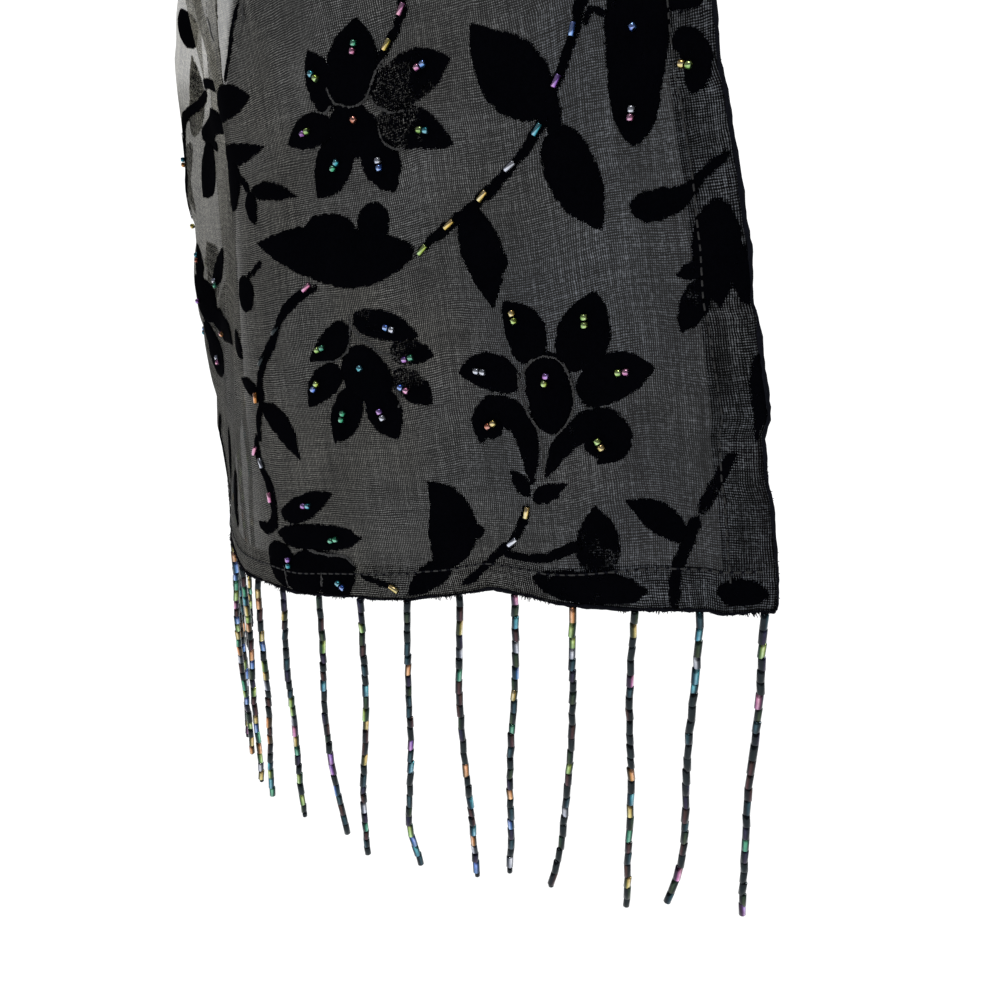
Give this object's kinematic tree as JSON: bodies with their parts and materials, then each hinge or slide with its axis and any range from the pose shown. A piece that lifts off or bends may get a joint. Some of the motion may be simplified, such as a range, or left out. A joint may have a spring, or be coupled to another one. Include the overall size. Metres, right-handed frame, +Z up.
{
  "type": "beaded burnout velvet shawl",
  "caption": "Long sheer shawl with a burnout velvet flower pattern and bead-strand fringes, hung over at its middle with its front end fanned out.",
  "frame": {"origin": "where the shawl is held, under the crown of its bend", "axes": "+Z up, +X along the bend to the viewer's right, -Y towards the viewer and the long front fall"},
  "size_m": [0.3092, 0.2842, 1.1756],
  "materials": {
    "cloth": "sheer black chiffon with black velvet pile",
    "velvet": "short black velvet pile",
    "beads": "dark glass beads with an iridescent coat"
  },
  "bodies": {
    "root": {"front_fall": "cloth", "top_bend": "cloth", "back_fall": "cloth", "front_fringe": "beads", "back_fringe": "beads"}
  },
  "joints": []
}
